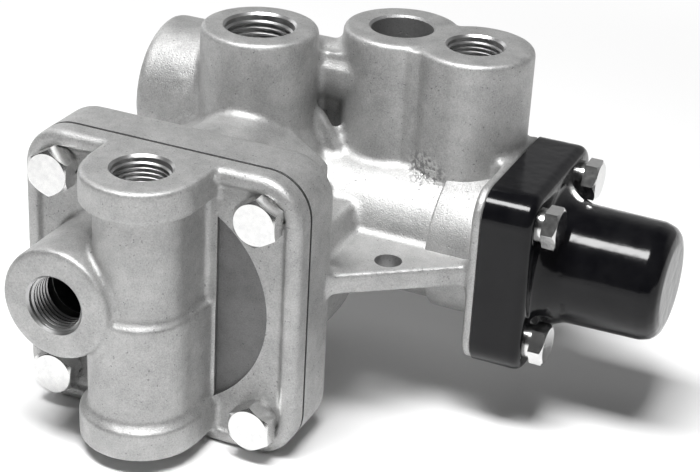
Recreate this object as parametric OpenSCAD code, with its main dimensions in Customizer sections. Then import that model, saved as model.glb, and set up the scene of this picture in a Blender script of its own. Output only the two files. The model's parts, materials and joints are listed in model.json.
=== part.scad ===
// Spring brake valve. A die-cast body carries a relay section behind a square front cover,
// a sprung control section under a black side cap, and a check valve in its left end.
// The relay axis is Y, the control and check valve axes are X. The front cover's own bore is vertical.
// The origin is the centre of the exhaust mouth at the rear, on the relay axis.

/* [Front flange] */
// Side of the square front flange and cover
flange_side = 89; // [87:0.5:92]
// Corner radius of the front flange
flange_corner_r = 13; // [10:0.5:15]
// Thickness of the body's front flange
flange_t = 16.5; // [15.5:0.5:20]
// Pitch of the cover bolts along each side
cover_bolt_pitch = 66; // [65:0.5:68]
// Thickness of the cover's plate inside its raised rim
cover_plate_t = 5.2; // [4.8:0.1:6]
// Height of the raised rim round the cover's plate
cover_rim_h = 1.6; // [0.8:0.1:2]
// Width of the raised rim round the cover's plate
cover_rim_w = 4.5; // [3:0.1:5]
// Thickness of the gaskets
gasket_t = 0.5; // [0.4:0.1:1]

/* [Cover housing] */
// Radius of the cover's vertical housing at its top boss
cover_boss_r = 17.4; // [17:0.1:18.5]
// Radius of the cover housing's waist
cover_waist_r = 15.4; // [15:0.1:16]
// Radius of the cover housing below its first ledge
cover_lower_r = 16.3; // [16:0.1:17]
// Radius of the band round the cover housing's foot
cover_foot_r = 18.2; // [17.5:0.1:19]
// Height of the band round the cover housing's foot
cover_foot_h = 11; // [9:0.5:12]
// Height of the cover housing's foot above the flange's lower edge
cover_foot_lift = 4.5; // [4:0.5:6]
// Place of the cover housing's axis to the right of the relay axis
cover_axis_x = 0.5; // [0:0.1:1]
// Distance of the cover housing's axis in front of the body's flange
cover_axis_out = 17; // [16.5:0.1:18]
// Radius of the front port boss
front_boss_r = 17; // [15:0.5:17.5]
// Distance of the front port boss to the left of the housing's axis
front_port_left = 18; // [17.5:0.1:19]
// Height of the front port above the relay axis
front_port_up = 4.5; // [2:0.5:6]
// Distance of the front port's face in front of the body's flange
front_port_out = 34; // [33:0.5:37]

/* [Threaded ports] */
// Wall radius of a three-eighths inch pipe port
small_port_r = 8.5; // [8.2:0.1:8.8]
// Wall radius of the half inch pipe port
large_port_r = 10.6; // [10.2:0.1:11]
// Depth of a port's thread
port_depth = 13; // [11:0.5:15]
// Width of the chamfer at a port's mouth
port_chamfer = 0.7; // [0.4:0.1:1]

/* [Relay section] */
// Outer radius of the relay housing
hub_r = 42; // [41:0.5:43]
// Height of the flat on top of the relay housing
hub_flat_z = 32; // [31.5:0.5:33]
// Radius of the ridge between the relay housing and the supply boss
ridge_r = 19; // [18:0.5:20]
// Height of the ridge's axis above the relay axis
ridge_up = 22; // [21:0.5:23]
// Length of the relay housing behind the body's flange face
hub_end = 49; // [46:0.5:52]
// Radius of the relay piston's bore
relay_bore_r = 31; // [29:0.5:32]
// Depth of the relay piston's bore
relay_bore_depth = 20; // [19:0.5:22]
// Radius of the bore behind the inlet seat
rear_bore_r = 22; // [21:0.5:22.5]
// Thickness of the wall that carries the inlet seat
seat_wall_t = 4; // [3:0.5:6]
// Radius of the hole through the inlet seat
inlet_hole_r = 10; // [9.5:0.5:11]
// Outer radius of the rear boss
rear_boss_r = 26; // [25:0.5:28]
// Length of the body from its flange face to its exhaust mouth
body_l = 90; // [90:0.5:94]
// Travel of the relay piston
relay_travel = 4; // [3:0.5:4.5]
// Gap that closes the exhaust before the inlet opens
exhaust_gap = 1.5; // [1:0.1:2]

/* [Top bosses] */
// Height of the machined tops of the vertical bosses above the relay axis
boss_top = 63.4; // [62:0.2:66]
// Radius of the vertical bosses
boss_r = 18; // [17:0.5:19]
// Distance of the supply boss behind the body's flange face
supply_back = 55; // [54:0.5:56]
// Place of the delivery boss to the right of the relay axis
delivery_x = 37.6; // [37:0.2:39]
// Place of the control boss to the right of the delivery boss
control_boss_step = 25.2; // [24:0.2:26]
// Distance of the delivery boss behind the body's flange face
delivery_back = 77; // [76:0.5:78]
// Distance of the control boss behind the body's flange face
control_boss_back = 73.5; // [72:0.5:75]
// Radius of the plain delivery bore
delivery_bore_r = 9.6; // [9:0.1:10.5]
// Depth of the plain delivery bore
delivery_bore_depth = 22; // [18:1:26]

/* [Control section] */
// Distance of the control axis behind the body's flange face
control_back = 64; // [63:0.5:65]
// Height of the control axis above the relay axis
control_up = 5; // [4:0.5:6]
// Radius of the control housing
control_housing_r = 20.9; // [20:0.1:21.5]
// Radius of the control housing's wide end
control_end_r = 22.8; // [22:0.1:24]
// Place where the wide end begins
control_end_x = 63; // [61:0.5:65]
// Place of the cap's joint face
cap_face_x = 81.8; // [81:0.2:84]
// Thickness of the body's thin flange under the cap
cap_rim_t = 3.2; // [2.5:0.1:5]
// Height of the body's square block inside the cap's skirt
cap_block_t = 8; // [7.5:0.1:9]
// Side of the cap's square flange
cap_side = 57; // [56:0.5:59]
// Corner radius of the cap's flange
cap_corner_r = 9; // [7:0.5:11]
// Thickness of the cap's flange
cap_flange_t = 15.3; // [13:0.1:17]
// Pitch of the cap bolts along each side
cap_bolt_pitch = 38.4; // [37.6:0.2:39]
// Radius of the dome near the flange
dome_root_r = 18.6; // [18.3:0.1:19]
// Radius of the dome near its end
dome_tip_r = 17.6; // [17.4:0.1:18]
// Radius of the rounding round the dome's end
dome_round_r = 4; // [2:0.5:5]
// Place of the dome's outer end
dome_end_x = 133; // [131:0.5:136]
// Wall of the dome
dome_wall = 3; // [2.6:0.1:3.4]
// Radius of the control piston's bore
control_bore_r = 17; // [16:0.1:17.5]
// Radius of the control piston's stem bore
control_stem_bore_r = 9; // [8.8:0.1:9.5]

/* [Web] */
// Height of the web's underside above the relay axis
web_z = 2.5; // [0:0.5:4]
// Thickness of the web
web_t = 6.5; // [5:0.5:8]
// Radius of the mounting hole in the web
web_hole_r = 4.1; // [3.6:0.1:4.6]
// Place of the mounting hole to the right of the relay axis
web_hole_x = 56.4; // [55.5:0.1:58]
// Distance of the mounting hole behind the body's flange face
web_hole_back = 29.6; // [28.5:0.1:31]

/* [Check valve] */
// Radius of the check valve housing
check_housing_r = 22; // [21:0.5:23]
// Distance of the check valve's axis behind the body's flange face
check_back = 67; // [66:0.5:68]
// Height of the check valve's axis above the relay axis
check_up = 33; // [32:0.5:34]
// Distance of the housing's left end from the relay axis
check_left = 38; // [37:0.5:40]
// Radius of the check valve's chamber
check_bore_r = 11.3; // [11.1:0.1:11.6]
// Radius of the plug that closes the check valve's chamber
check_plug_r = 14; // [13.8:0.1:14.5]
// Length of the check valve's plug
check_plug_l = 12; // [11:0.5:13]
// Travel of the check valve
check_travel = 4; // [2:0.5:5]

/* [Foot boss] */
// Radius of the boss under the body
foot_boss_r = 17; // [15:0.5:18]
// Place of the foot boss to the right of the relay axis
foot_boss_x = 5; // [3:0.5:7]
// Distance of the foot boss behind the body's flange face
foot_boss_back = 56; // [55:0.5:57]

/* [Protection valve] */
// Radius of the protection piston's bore in the cover
protection_bore_r = 9.5; // [9.2:0.1:9.6]

/* [Fasteners and seals] */
// Width across flats of the cover bolts' heads
cover_hex = 12.7; // [11:0.1:14]
// Height of the cover bolts' heads
cover_head_h = 5.3; // [4.5:0.1:6]
// Shank radius of the cover bolts
cover_shank_r = 3.95; // [3.5:0.05:4]
// Thickness of the cover bolts' lock washers
cover_washer_t = 2; // [1.5:0.1:2.4]
// Length of the cover bolts under their heads
cover_bolt_l = 21; // [18:0.5:22]
// Width across flats of the cap bolts' heads
cap_hex = 11.1; // [10:0.1:11.5]
// Height of the cap bolts' heads
cap_head_h = 4.4; // [3.5:0.1:5]
// Shank radius of the cap bolts
cap_shank_r = 3.15; // [2.9:0.05:3.2]
// Thickness of the cap bolts' lock washers
cap_washer_t = 1.6; // [1.2:0.1:2]
// Length of the cap bolts under their heads
cap_bolt_l = 18; // [15:0.5:18.5]
// Radial clearance of sliding and threaded fits
fit = 0.05; // [0.02:0.01:0.08]
// Radius of an O-ring's section
ring_r = 1.35; // [1.1:0.05:1.4]

/* [Hidden] */
$fn = 96;

// Small lengths that cutters run past the faces they open
over = 1;

// An O-ring lies between its groove's floor and the bore with a little room on both sides
groove_depth = 2 * ring_r + 2 * fit;
groove_play = 0.7;
groove_w = 2 * ring_r + groove_play;

// Front flange and cover, measured from the body's flange face
half_flange = flange_side / 2;
cover_back_y = -gasket_t;
cover_front_y = cover_back_y - cover_plate_t;
cover_chamber_depth = 2;
bolt_seat_y = cover_front_y;
hole_clear = 0.35;
thread_depth = 15;
washer_ratio = 1.62;
washer_gap = 0.2;
washer_split = 0.8;
spot_gap = 0.3;
spot_r = cover_shank_r * washer_ratio + spot_gap;
ridge_x = 3;

// Vertical housing of the cover
cover_axis_y = -cover_axis_out;
cover_top_z = half_flange;
cover_foot_z = -half_flange + cover_foot_lift;
cover_boss_h = 12;
ledge_z = 3;
front_face_y = -front_port_out;
front_port_thread = 11;
front_passage_r = 4;
front_passage_l = front_port_out - gasket_t - cover_chamber_depth + over;
panel_depth = 1.2;
panel_r = 34.5;
panel_gap = 1.5;
panel_left_x = cover_axis_x + cover_lower_r + panel_gap;

// Protection valve along the cover's vertical bore, from its seat down
protection_seat_z = 18;
protection_passage_r = 5;
protection_nose_h = 1.2;
protection_nose_r = 7;
rest_gap = 0.3;
protection_head_z = protection_seat_z - protection_nose_h - rest_gap;
protection_piston_l = 14.5;
protection_cup_r = 6.2;
protection_cup_depth = 6;
protection_ring_z = protection_head_z - protection_piston_l / 2 + 1;
protection_plug_z = -26;
protection_plug_l = 8.5;
protection_port_z = 11;
protection_port_r = 2.5;
protection_spring_r = 4.8;
protection_wire_r = 0.9;
protection_turns = 7;
snap_t = 1.4;
snap_deep = 1.1;
snap_wide = 3.2;
snap_play = 0.1;
snap_opening = 6;

// Relay section, from the flange face backwards
delivery_chamber_r = 22;
delivery_chamber_l = 10;
seat_wall_y = relay_bore_depth + delivery_chamber_l;
rear_bore_y = seat_wall_y + seat_wall_t;
seat_rim_h = 1;
seat_rim_w = 2;
inlet_seat_y = rear_bore_y + seat_rim_h;
piston_rest_y = 1;
shoulder_room = 5;
piston_head_t = relay_bore_depth - relay_travel - shoulder_room - piston_rest_y;
piston_head_y = piston_rest_y + piston_head_t;
nose_r = 7;
nose_bore_r = 5;
nose_bore_depth = 8;
nose_end_y = inlet_seat_y - exhaust_gap;
relay_spring_r = 12;
relay_wire_r = 1.1;
short_turns = 4;
valve_face_t = 2;
valve_disc_t = 3;
valve_disc_r = 15;
valve_stem_r = 6;
valve_hole_r = 4;
valve_back_y = inlet_seat_y + valve_face_t + valve_disc_t;
valve_spring_r = 8.6;
valve_wire_r = 0.8;
guide_neck_r = 10.5;
guide_neck_y = 54;
guide_l = 11;
mouth_depth = 10;
guide_y = body_l - mouth_depth - guide_l;
guide_bore_l = 8;
guide_hollow_r = 13;
stem_end_y = guide_neck_y + guide_bore_l + 1;
exhaust_cover_y = guide_y + guide_l;
exhaust_cover_t = 4.4;
flap_recess = 2;
exhaust_cover_rim = 3;
flap_t = 1.4;
flap_r = 15;
flap_y = exhaust_cover_y + exhaust_cover_t - flap_recess;
screw_r = 2;
screw_head_r = 4;
screw_head_h = 2;
exhaust_snap_y = exhaust_cover_y + exhaust_cover_t + snap_play;

// Passages cast and drilled in the body
supply_passage_r = 7;
supply_thread = 16;
control_passage_r = 4;
link_passage_x = 28;
link_passage_r = 3.5;
passage_step = 2;
delivery_passage_right = 7.4;
delivery_passage_x = delivery_x + delivery_passage_right;
control_boss_x = delivery_x + control_boss_step;

// Control section, along X from its inner end to the cap
control_inner_x = 26;
control_step_x = 60;
control_stop_x = control_step_x + rest_gap;
control_collar_t = 2;
control_collar_r = 12;
control_head_x = control_stop_x + control_collar_t;
control_head_t = 9;
control_cup_r = 13.8;
control_cup_depth = 4;
control_spring_x = control_head_x + control_head_t - control_cup_depth;
control_stem_end_x = 41;
control_nose_r = 3;
control_bleed_r = 1.5;
control_ring_x = 53;
control_ring_back = 2.8;
control_head_ring_x = control_head_x + control_ring_back;
control_seat_x = 36;
control_seat_t = 3;
control_seat_hole_r = 4;
control_disc_t = 2.5;
control_disc_r = 6;
control_valve_spring_r = 4.2;
control_valve_wire_r = 0.5;
cap_skirt_t = 4;
skirt_gap = 0.3;
block_side = cap_side - 2 * cap_skirt_t;
block_corner_r = cap_corner_r - cap_skirt_t;
block_face_x = cap_face_x + cap_block_t;
cap_seat_x = block_face_x + gasket_t / 2;
cap_top_x = cap_face_x + cap_flange_t;
dome_inner_r = dome_tip_r - dome_wall;
dome_end_extra = 1;
dome_inner_x = dome_end_x - dome_wall - dome_end_extra;
spring_seat_t = 2;
control_coil_r = 12;
control_wire_r = 1.4;
control_turns = 8;
seat_gap = 0.3;
cap_thread_l = 10;

// Web between the front flange and the cap's flange
web_left_x = 20;
web_front_slope = 0.77;
web_front_back = 11.9;

// Check valve, from the left end of its housing
check_plug_x = -check_left + 1;
check_seat_x = check_plug_x + check_plug_l;
check_nose_t = 1.5;
check_nose_r = 7.5;
check_port_depth = 9;
check_seal_t = 1.5;
check_seal_r = 9.5;
check_disc_t = 3;
check_disc_r = 10.5;
check_stem_r = 3;
check_spring_r = 6;
check_wire_r = 0.7;
check_turns = 6;
check_end_x = 8;
check_back_x = check_seat_x + check_nose_t + check_seal_t + check_disc_t;
check_stem_l = check_end_x - check_back_x - check_travel;
check_housing_right = 13;
bridge_r = 9;
bridge_z = 49;

// Outline helpers
module rounded_square(side, r) {
    square([side, side - 2 * r], center = true);
    square([side - 2 * r, side], center = true);
    for (i = [-1, 1], j = [-1, 1])
        translate([i * (side / 2 - r), j * (side / 2 - r)])
            circle(r = r);
}

// Turns a solid drawn along Z so that it lies along Y from y, or along X from x
module along_y(y, x = 0, z = 0) {
    translate([x, y, z])
        rotate([-90, 0, 0])
            children();
}

module along_x(x, y = 0, z = 0) {
    translate([x, y, z])
        rotate([0, 90, 0])
            children();
}

module at_control_axis(x) {
    along_x(x, control_back, control_up)
        children();
}

module at_check_axis(x) {
    along_x(x, check_back, check_up)
        children();
}

// Moves the whole valve so that its exhaust mouth is the origin
module to_origin() {
    translate([0, -body_l, 0])
        children();
}

module tube(outer, inner, h) {
    difference() {
        cylinder(r = outer, h = h);
        translate([0, 0, -over])
            cylinder(r = inner, h = h + 2 * over);
    }
}

module o_ring(bore_r) {
    rotate_extrude()
        translate([bore_r - fit - ring_r, 0])
            circle(r = ring_r);
}

// Groove for an O-ring, cut from a piston that runs in a bore of radius bore_r
module ring_groove(bore_r) {
    translate([0, 0, -groove_w / 2])
        tube(bore_r + over, bore_r - groove_depth, groove_w);
}

// Open retaining ring that reaches into a groove round a bore
module snap_ring(bore_r) {
    difference() {
        tube(bore_r + snap_deep - fit, bore_r - snap_wide, snap_t - snap_play);
        translate([0, -snap_opening / 2, -over])
            cube([bore_r + 2 * over, snap_opening, snap_t + 2 * over]);
    }
}

module snap_groove(bore_r) {
    cylinder(r = bore_r + snap_deep, h = snap_t);
}

// Port drilled from its mouth at z = 0 downwards
module port(r, depth) {
    translate([0, 0, -depth])
        cylinder(r = r, h = depth + over);
    translate([0, 0, -port_chamfer])
        cylinder(r1 = r, r2 = r + port_chamfer, h = port_chamfer);
}

// Closed helical wire with its end turns squared off by the lengths around it
module coil(mean_r, wire_r, length, turns) {
    sides = 6;
    steps = 12 * turns;
    pitch = (length - 2 * wire_r) / turns;
    points = [
        for (i = [0:steps], j = [0:sides - 1])
            let (a = i * 360 * turns / steps, b = j * 360 / sides, r = mean_r + wire_r * cos(b))
                [r * cos(a), r * sin(a), wire_r + pitch * turns * i / steps + wire_r * sin(b)]
    ];
    sides_of = [
        for (i = [0:steps - 1], j = [0:sides - 1])
            let (k = (j + 1) % sides)
                [i * sides + j, (i + 1) * sides + j, (i + 1) * sides + k, i * sides + k]
    ];
    first_end = [[for (j = [0:sides - 1]) j]];
    last_end = [[for (j = [sides - 1:-1:0]) steps * sides + j]];
    polyhedron(points = points, faces = concat(sides_of, first_end, last_end), convexity = 10);
}

module hex_bolt(flats, head_h, shank_r, length) {
    cylinder(r = flats / sqrt(3), h = head_h, $fn = 6);
    translate([0, 0, -length])
        cylinder(r = shank_r, h = length + over);
}

module lock_washer(shank_r, t) {
    difference() {
        tube(shank_r * washer_ratio, shank_r + washer_gap, t);
        translate([0, -washer_split / 2, -over])
            cube([shank_r * 2, washer_split, t + 2 * over]);
    }
}

module at_cover_bolts(y) {
    for (i = [-1, 1], j = [-1, 1])
        along_y(y, i * cover_bolt_pitch / 2, j * cover_bolt_pitch / 2)
            children();
}

module at_cap_bolts(x) {
    for (i = [-1, 1], j = [-1, 1])
        along_x(x, control_back + i * cap_bolt_pitch / 2, control_up + j * cap_bolt_pitch / 2)
            children();
}

// Outside of the body, before anything is bored
module body_outside() {
    along_y(0)
        linear_extrude(flange_t)
            rounded_square(flange_side, flange_corner_r);
    relay_housing();
    along_y(over)
        cylinder(r = rear_boss_r, h = body_l - over);
    translate([0, supply_back, 0])
        cylinder(r = boss_r, h = boss_top);
    translate([foot_boss_x, foot_boss_back, -half_flange])
        cylinder(r = foot_boss_r, h = half_flange);
    at_control_axis(0)
        cylinder(r = control_housing_r, h = cap_face_x);
    at_control_axis(control_end_x)
        cylinder(r = control_end_r, h = cap_face_x - control_end_x);
    at_control_axis(cap_face_x - cap_rim_t)
        linear_extrude(cap_rim_t)
            rounded_square(cap_side, cap_corner_r);
    at_control_axis(cap_face_x - over)
        linear_extrude(cap_block_t + over)
            rounded_square(block_side, block_corner_r);
    at_check_axis(-check_left)
        cylinder(r = check_housing_r, h = check_left + check_housing_right);
    along_x(0, check_back, bridge_z)
        cylinder(r = bridge_r, h = delivery_x);
    top_lobes();
    web();
}

// Round relay housing with a flat top, and the ridge that runs back to the supply boss
module relay_housing() {
    intersection() {
        along_y(over)
            cylinder(r = hub_r, h = hub_end - over);
        translate([-hub_r - over, 0, -hub_r - over])
            cube([2 * hub_r + 2 * over, hub_end + over, hub_r + over + hub_flat_z]);
    }
    along_y(over, ridge_x, ridge_up)
        cylinder(r = ridge_r, h = supply_back - over);
}

// Two joined vertical bosses, one plain and one threaded
module top_lobes() {
    translate([delivery_x, delivery_back, control_up])
        cylinder(r = boss_r, h = boss_top - control_up);
    translate([control_boss_x, control_boss_back, control_up])
        cylinder(r = boss_r, h = boss_top - control_up);
}

// Flat web on the right of the relay housing, with a slanted front edge
module web() {
    right_x = cap_face_x - over / 2;
    translate([0, 0, web_z])
        linear_extrude(web_t)
            polygon([
                [web_left_x, over],
                [half_flange, web_front_back],
                [right_x, web_front_back + web_front_slope * (right_x - half_flange)],
                [right_x, control_back],
                [web_left_x, control_back]
            ]);
}

// Bores along the relay axis
module relay_bores() {
    along_y(-over)
        cylinder(r = relay_bore_r, h = relay_bore_depth + over);
    along_y(0)
        cylinder(r = delivery_chamber_r, h = seat_wall_y);
    along_y(0)
        cylinder(r = inlet_hole_r, h = inlet_seat_y + over);
    along_y(rear_bore_y)
        tube(rear_bore_r, inlet_hole_r + seat_rim_w, seat_rim_h + over);
    along_y(inlet_seat_y)
        cylinder(r = rear_bore_r, h = 2 * body_l);
    along_y(exhaust_snap_y)
        snap_groove(rear_bore_r);
}

// Bores along the control axis
module control_bores() {
    at_control_axis(control_step_x)
        cylinder(r = control_bore_r, h = block_face_x - control_step_x + over);
    at_control_axis(control_inner_x)
        cylinder(r = control_stem_bore_r, h = control_step_x - control_inner_x + over);
    at_cap_bolts(block_face_x - cap_thread_l)
        cylinder(r = cap_shank_r + fit, h = cap_thread_l + over);
}

// Chamber of the check valve, open at the left
module check_bores() {
    at_check_axis(-check_left - over)
        cylinder(r = check_plug_r, h = over + check_seat_x + check_left);
    at_check_axis(check_seat_x - over)
        cylinder(r = check_bore_r, h = check_end_x - check_seat_x + over);
}

// Vertical ports and what they lead to
module vertical_bores() {
    translate([0, supply_back, boss_top])
        port(large_port_r, supply_thread);
    translate([0, supply_back, 0])
        cylinder(r = supply_passage_r, h = boss_top - supply_thread + over);
    translate([delivery_x, delivery_back, boss_top])
        port(delivery_bore_r, delivery_bore_depth);
    translate([delivery_passage_x, control_back + control_stem_bore_r, control_up])
        cylinder(r = control_passage_r, h = boss_top - delivery_bore_depth - control_up + over);
    translate([control_boss_x, control_boss_back, boss_top])
        port(small_port_r, port_depth);
    translate([control_boss_x, control_boss_back - passage_step, control_up])
        cylinder(r = control_passage_r, h = boss_top - port_depth - control_up + over);
    translate([foot_boss_x, foot_boss_back, -half_flange])
        rotate([180, 0, 0])
            port(small_port_r, port_depth);
    translate([foot_boss_x, foot_boss_back, -half_flange])
        cylinder(r = control_passage_r, h = half_flange);
    along_y(relay_bore_depth - passage_step, link_passage_x, control_up)
        cylinder(r = link_passage_r, h = control_back - relay_bore_depth);
}

module valve_body() {
    color("silver")
        to_origin()
            difference() {
                body_outside();
                relay_bores();
                control_bores();
                check_bores();
                vertical_bores();
                at_cover_bolts(-over)
                    cylinder(r = cover_shank_r + fit, h = thread_depth + over);
                translate([web_hole_x, web_hole_back, web_z - over])
                    cylinder(r = web_hole_r, h = web_t + 2 * over);
            }
}

// Outside of the cover: a rimmed plate, a vertical housing and a horizontal port boss
module cover_outside() {
    along_y(cover_front_y)
        linear_extrude(cover_plate_t)
            rounded_square(flange_side, flange_corner_r);
    along_y(cover_front_y - cover_rim_h)
        linear_extrude(cover_rim_h + over)
            difference() {
                rounded_square(flange_side, flange_corner_r);
                rounded_square(flange_side - 2 * cover_rim_w, flange_corner_r - cover_rim_w);
            }
    housing_band(cover_foot_r, cover_foot_z, cover_foot_z + cover_foot_h);
    housing_band(cover_lower_r, cover_foot_z, ledge_z);
    housing_band(cover_waist_r, cover_foot_z, cover_top_z);
    housing_band(cover_boss_r, cover_top_z - cover_boss_h, cover_top_z);
    along_y(front_face_y, -front_port_left, front_port_up)
        cylinder(r = front_boss_r, h = front_port_out - gasket_t);
}

// One height of the vertical housing, round in front and straight-sided back to the plate
module housing_band(r, low, high) {
    translate([cover_axis_x, cover_axis_y, low]) {
        cylinder(r = r, h = high - low);
        translate([-r, 0, 0])
            cube([2 * r, cover_axis_out - gasket_t, high - low]);
    }
}

// Shallow crescent panel to the right of the housing
module cover_panel() {
    along_y(cover_front_y - over)
        linear_extrude(over + panel_depth)
            intersection() {
                circle(r = panel_r);
                translate([panel_left_x, -panel_r])
                    square([panel_r, 2 * panel_r]);
            }
}

module front_cover() {
    color("silver")
        to_origin()
            difference() {
                cover_outside();
                translate([-half_flange, cover_back_y, -half_flange])
                    cube([flange_side, cover_foot_r, flange_side]);
                cover_panel();
                along_y(cover_back_y - cover_chamber_depth)
                    cylinder(r = relay_bore_r, h = cover_chamber_depth + over);
                at_cover_bolts(cover_front_y - over)
                    cylinder(r = cover_shank_r + hole_clear, h = cover_plate_t + 2 * over);
                at_cover_bolts(cover_front_y - cover_rim_h - over)
                    cylinder(r = spot_r, h = cover_rim_h + over);
                protection_bores();
                along_y(front_face_y, -front_port_left, front_port_up)
                    rotate([180, 0, 0])
                        port(small_port_r, front_port_thread);
                along_y(front_face_y, -front_port_left, front_port_up)
                    cylinder(r = front_passage_r, h = front_passage_l);
            }
}

// Vertical bores of the cover
module protection_bores() {
    translate([cover_axis_x, cover_axis_y, cover_top_z])
        port(small_port_r, port_depth);
    translate([cover_axis_x, cover_axis_y, 0])
        cylinder(r = protection_passage_r, h = cover_top_z - port_depth + over);
    translate([cover_axis_x, cover_axis_y, cover_foot_z - over])
        cylinder(r = protection_bore_r, h = protection_seat_z - cover_foot_z + over);
    translate([cover_axis_x, cover_axis_y, protection_plug_z - protection_plug_l - snap_t - snap_play])
        snap_groove(protection_bore_r);
    along_y(cover_axis_y, cover_axis_x, protection_port_z)
        cylinder(r = protection_port_r, h = cover_axis_out);
}

module cover_gasket() {
    color("dimgray")
        to_origin()
            difference() {
                along_y(-gasket_t)
                    linear_extrude(gasket_t)
                        rounded_square(flange_side, flange_corner_r);
                along_y(-gasket_t - over)
                    cylinder(r = relay_bore_r, h = gasket_t + 2 * over);
                at_cover_bolts(-gasket_t - over)
                    cylinder(r = cover_shank_r + hole_clear, h = gasket_t + 2 * over);
            }
}

module cover_bolts() {
    color("gainsboro")
        to_origin()
            at_cover_bolts(bolt_seat_y - cover_washer_t)
                rotate([180, 0, 0])
                    hex_bolt(cover_hex, cover_head_h, cover_shank_r, cover_bolt_l);
}

module cover_lock_washers() {
    color("gainsboro")
        to_origin()
            at_cover_bolts(bolt_seat_y - cover_washer_t)
                lock_washer(cover_shank_r, cover_washer_t);
}

// Relay piston with the nose that closes the exhaust
module relay_piston() {
    color("lightsteelblue")
        to_origin()
            along_y(piston_rest_y)
                difference() {
                    union() {
                        cylinder(r = relay_bore_r - fit, h = piston_head_t);
                        cylinder(r = nose_r, h = nose_end_y - piston_rest_y);
                    }
                    translate([0, 0, piston_head_t / 2])
                        ring_groove(relay_bore_r);
                    translate([0, 0, nose_end_y - piston_rest_y - nose_bore_depth])
                        cylinder(r = nose_bore_r, h = nose_bore_depth + over);
                }
}

module relay_piston_o_ring() {
    color("black")
        to_origin()
            along_y(piston_rest_y + piston_head_t / 2)
                o_ring(relay_bore_r);
}

module relay_spring() {
    color("slategray")
        to_origin()
            along_y(piston_head_y)
                coil(relay_spring_r, relay_wire_r, seat_wall_y - piston_head_y, short_turns);
}

// Inlet and exhaust valve of the relay section
module relay_valve() {
    color("goldenrod")
        to_origin()
            along_y(inlet_seat_y + valve_face_t)
                difference() {
                    union() {
                        cylinder(r = valve_disc_r, h = valve_disc_t);
                        cylinder(r = valve_stem_r, h = stem_end_y - inlet_seat_y - valve_face_t);
                    }
                    translate([0, 0, -over])
                        cylinder(r = valve_hole_r, h = stem_end_y - inlet_seat_y + over);
                }
}

module relay_valve_face() {
    color("black")
        to_origin()
            along_y(inlet_seat_y)
                tube(valve_disc_r, valve_hole_r, valve_face_t);
}

module relay_valve_spring() {
    color("slategray")
        to_origin()
            along_y(valve_back_y)
                coil(valve_spring_r, valve_wire_r, guide_neck_y - valve_back_y, short_turns);
}

module valve_guide() {
    color("lightsteelblue")
        to_origin()
            difference() {
                union() {
                    along_y(guide_neck_y)
                        cylinder(r = guide_neck_r, h = guide_y - guide_neck_y + over);
                    along_y(guide_y)
                        cylinder(r = rear_bore_r - fit, h = guide_l);
                }
                along_y(guide_neck_y - over)
                    cylinder(r = valve_stem_r + fit, h = guide_bore_l + 2 * over);
                along_y(guide_neck_y + guide_bore_l)
                    cylinder(r = valve_stem_r + over, h = guide_l + guide_y);
                along_y(guide_y + guide_l / 2)
                    cylinder(r = guide_hollow_r, h = guide_l);
                along_y(guide_y + guide_l / 2)
                    ring_groove(rear_bore_r);
            }
}

module guide_o_ring() {
    color("black")
        to_origin()
            along_y(guide_y + guide_l / 2)
                o_ring(rear_bore_r);
}

// Grille with a recess that carries the exhaust flap
module exhaust_cover() {
    color("lightsteelblue")
        to_origin()
            along_y(exhaust_cover_y)
                difference() {
                    cylinder(r = rear_bore_r - fit, h = exhaust_cover_t);
                    translate([0, 0, exhaust_cover_t - flap_recess])
                        cylinder(r = flap_r + over, h = flap_recess + over);
                    translate([0, 0, -over])
                        cylinder(r = screw_r + fit, h = exhaust_cover_t + 2 * over);
                    for (a = [0:60:300])
                        rotate(a)
                            translate([(flap_r + screw_head_r) / 2, 0, -over])
                                cylinder(r = exhaust_cover_rim, h = exhaust_cover_t + 2 * over);
                }
}

module exhaust_flap() {
    color("black")
        to_origin()
            along_y(flap_y)
                tube(flap_r, screw_r + fit, flap_t);
}

module flap_screw() {
    color("gainsboro")
        to_origin()
            along_y(flap_y + flap_t) {
                cylinder(r = screw_head_r, h = screw_head_h);
                translate([0, 0, exhaust_cover_y - flap_y - flap_t])
                    cylinder(r = screw_r, h = flap_y - exhaust_cover_y + flap_t + over);
            }
}

module exhaust_retaining_ring() {
    color("slategray")
        to_origin()
            along_y(exhaust_snap_y)
                snap_ring(rear_bore_r);
}

// Black cap over the control spring, with a skirt round the body's block
module spring_cap() {
    color([0.08, 0.08, 0.09])
        to_origin()
            difference() {
                union() {
                    at_control_axis(cap_face_x)
                        linear_extrude(cap_flange_t)
                            rounded_square(cap_side, cap_corner_r);
                    dome();
                }
                at_control_axis(cap_face_x - over)
                    linear_extrude(cap_seat_x - cap_face_x + over)
                        rounded_square(block_side + 2 * skirt_gap, block_corner_r + skirt_gap);
                at_control_axis(cap_seat_x - over)
                    cylinder(r = dome_inner_r, h = dome_inner_x - cap_seat_x + over);
                at_cap_bolts(cap_seat_x - over)
                    cylinder(r = cap_shank_r + hole_clear, h = cap_flange_t + 2 * over);
            }
}

module dome() {
    dome_l = dome_end_x - cap_seat_x;
    at_control_axis(cap_seat_x) {
        cylinder(r1 = dome_root_r, r2 = dome_tip_r, h = dome_l - dome_round_r);
        cylinder(r = dome_tip_r - dome_round_r, h = dome_l);
        translate([0, 0, dome_l - dome_round_r])
            rotate_extrude()
                intersection() {
                    translate([dome_tip_r - dome_round_r, 0])
                        circle(r = dome_round_r);
                    square(dome_tip_r);
                }
    }
}

module cap_gasket() {
    color("dimgray")
        to_origin()
            difference() {
                at_control_axis(block_face_x)
                    linear_extrude(gasket_t / 2)
                        rounded_square(block_side, block_corner_r);
                at_control_axis(block_face_x - over)
                    cylinder(r = control_bore_r, h = gasket_t + 2 * over);
                at_cap_bolts(block_face_x - over)
                    cylinder(r = cap_shank_r + hole_clear, h = gasket_t + 2 * over);
            }
}

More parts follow.
